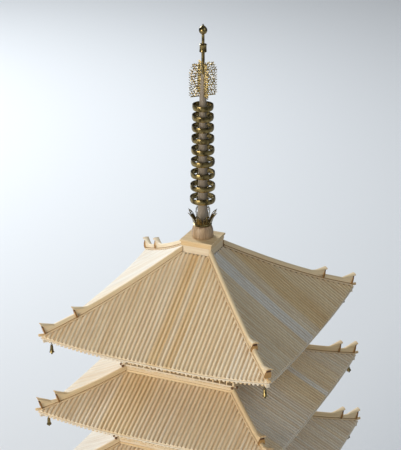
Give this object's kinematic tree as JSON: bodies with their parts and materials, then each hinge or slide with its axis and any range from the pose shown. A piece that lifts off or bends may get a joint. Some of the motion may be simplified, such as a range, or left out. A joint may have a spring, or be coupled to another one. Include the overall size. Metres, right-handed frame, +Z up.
{
  "type": "wooden model pagoda",
  "caption": "Tall square wooden scale model of a five-storey pagoda: tiled roofs with upturned corners, railed balconies and a brass-ringed spire.",
  "frame": {"origin": "centre of the podium's underside", "axes": "+Z up along the spire, -Y towards the front flight of steps, +X to the right of the front"},
  "size_m": [0.1914, 0.1914, 0.51],
  "materials": {
    "wood": "satin",
    "dark_wood": "satin",
    "brass": "polished"
  },
  "bodies": {
    "root": {"podium": "wood", "body_1": "wood", "brackets_1": "wood", "eaves_1": "wood", "roof_1": "wood", "ridges_1": "wood", "body_2": "wood", "brackets_2": "wood", "eaves_2": "wood", "roof_2": "wood", "ridges_2": "wood", "balcony_2": "wood", "body_3": "wood", "brackets_3": "wood", "eaves_3": "wood", "roof_3": "wood", "ridges_3": "wood", "balcony_3": "wood", "body_4": "wood", "brackets_4": "wood", "eaves_4": "wood", "roof_4": "wood", "ridges_4": "wood", "balcony_4": "wood", "body_5": "wood", "brackets_5": "wood", "eaves_5": "wood", "roof_5": "wood", "ridges_5": "wood", "balcony_5": "wood", "dew_basin": "wood", "spire_shaft": "wood", "dome": "dark_wood", "lotus_petals": "brass", "ring_1": "brass", "ring_2": "brass", "ring_3": "brass", "ring_4": "brass", "ring_5": "brass", "ring_6": "brass", "ring_7": "brass", "ring_8": "brass", "ring_9": "brass", "flame_panels": "brass", "finial_tip": "brass"}
  },
  "joints": []
}
